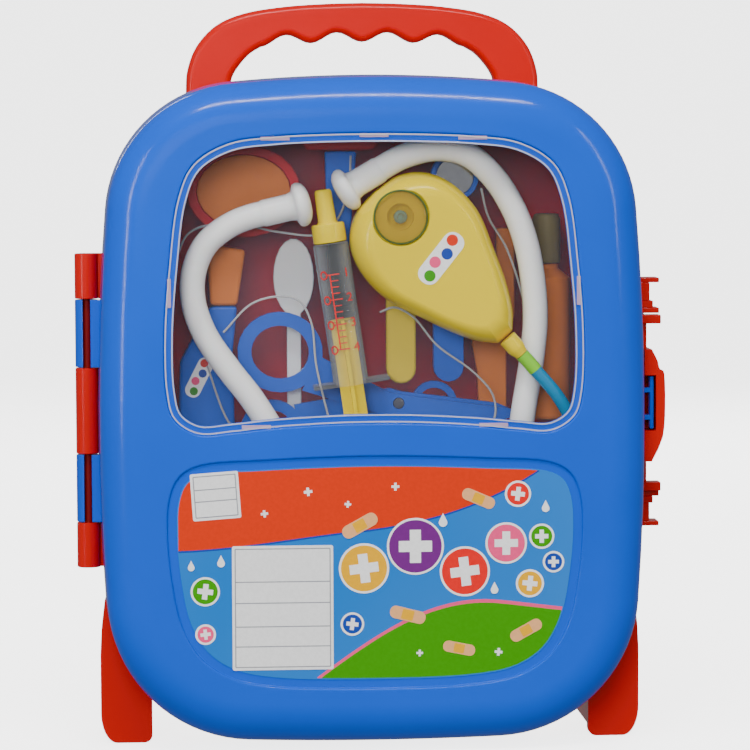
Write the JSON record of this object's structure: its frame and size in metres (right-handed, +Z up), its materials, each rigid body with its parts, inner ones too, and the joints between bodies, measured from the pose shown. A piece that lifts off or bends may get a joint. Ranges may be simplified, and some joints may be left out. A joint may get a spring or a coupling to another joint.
{
  "type": "toy doctor case",
  "caption": "Wheeled plastic toy case with a windowed hinged cover, side buckle, telescoping pull handle and toy medical instruments held in a clear tray.",
  "frame": {"origin": "centre of the bounding box's underside, on the surface that the two wheels and two foot pads stand on", "axes": "+Z up along the case's height, -Y out of the clear window at the front, +X to the right as the window is looked at, towards the buckle"},
  "size_m": [0.2486, 0.088, 0.3143],
  "materials": {
    "red_plastic": "glossy moulded",
    "blue_plastic": "glossy moulded",
    "pin_plastic": "moulded",
    "wheel_plastic": "moulded",
    "steel": "plated",
    "window_clear": "clear",
    "tray_clear": "clear, thermoformed",
    "printed_label": "printed film",
    "white_paper": "matt",
    "white_plastic": "satin moulded",
    "yellow_plastic": "glossy moulded",
    "hose_plastic": "translucent",
    "lens_plastic": "clear tinted",
    "teal_plastic": "moulded",
    "barrel_clear": "clear",
    "piston_rubber": "moulded",
    "toy_blue": "moulded",
    "toy_amber": "translucent",
    "toy_olive": "moulded",
    "mirror_foil": "silvered"
  },
  "bodies": {
    "case": {"rear_shell": "red_plastic", "rear_panel": "red_plastic", "panel_screw_1": "steel", "panel_screw_2": "steel", "panel_screw_3": "steel", "panel_screw_4": "steel", "left_axle": "steel", "right_axle": "steel", "hinge_pin": "pin_plastic", "upper_latch_pin": "steel", "lower_latch_pin": "steel", "blister_tray": "tray_clear", "left_ear_tube": "white_plastic", "left_ear_tip": "white_plastic", "right_ear_tube": "white_plastic", "right_ear_tip": "white_plastic", "headset_yoke": "white_plastic", "stethoscope_hose": "hose_plastic", "chest_piece_front": "yellow_plastic", "chest_piece_back": "yellow_plastic", "chest_piece_lens": "lens_plastic", "chest_piece_lamp": "teal_plastic", "hose_spigot": "yellow_plastic", "syringe_barrel": "barrel_clear", "syringe_cap": "yellow_plastic", "goggle_frame": "red_plastic", "goggle_lens": "toy_amber", "otoscope_handle": "toy_blue", "otoscope_head": "toy_amber", "scissor_front_half": "toy_blue", "scissor_rivet": "steel", "toy_spoon": "white_plastic", "hammer_handle": "toy_blue", "hammer_head": "red_plastic", "thermometer": "yellow_plastic", "mirror_handle": "toy_blue", "mirror_glass": "mirror_foil", "probe": "toy_blue", "forceps": "toy_amber", "medicine_bottle": "toy_amber", "bottle_cap": "toy_olive"},
    "cover": {"front_cover": "blue_plastic", "window_panel": "window_clear", "label_sheet": "printed_label", "large_sticker": "white_paper", "small_sticker": "white_paper"},
    "latch": {"latch_buckle": "red_plastic"},
    "handle": {"pull_handle": "red_plastic"},
    "left_wheel": {"left_wheel": "wheel_plastic"},
    "right_wheel": {"right_wheel": "wheel_plastic"},
    "plunger": {"syringe_piston": "piston_rubber", "syringe_plunger": "yellow_plastic"},
    "scissor_half": {"scissor_back_half": "toy_blue"}
  },
  "joints": [
    {"name": "cover_hinge", "type": "hinge", "parent": "case", "child": "cover", "pos_m": [-0.1194, -0.008, 0.1421], "axis": [0, 0, -1], "range_deg": [0, 175]},
    {"name": "latch_hinge", "type": "hinge", "parent": "case", "child": "latch", "pos_m": [0.1172, 0.002, 0.143], "axis": [0, 0, 1], "range_deg": [0, 100]},
    {"name": "handle_slide", "type": "slide", "parent": "case", "child": "handle", "axis": [0, 0, 1], "range_m": [0, 0.13]},
    {"name": "left_wheel_spin", "type": "hinge", "parent": "case", "child": "left_wheel", "pos_m": [-0.1041, 0.019, 0.02], "axis": [1, 0, 0], "continuous": true},
    {"name": "right_wheel_spin", "type": "hinge", "parent": "case", "child": "right_wheel", "pos_m": [0.1041, 0.019, 0.02], "axis": [1, 0, 0], "continuous": true},
    {"name": "plunger_slide", "type": "slide", "parent": "case", "child": "plunger", "axis": [0.1415, 0, -0.9899], "range_m": [-0.018, 0.02]},
    {"name": "scissor_hinge", "type": "hinge", "parent": "case", "child": "scissor_half", "pos_m": [0.01196, -0.0082, 0.14426], "axis": [0, -1, 0], "range_deg": [0, 12]}
  ]
}
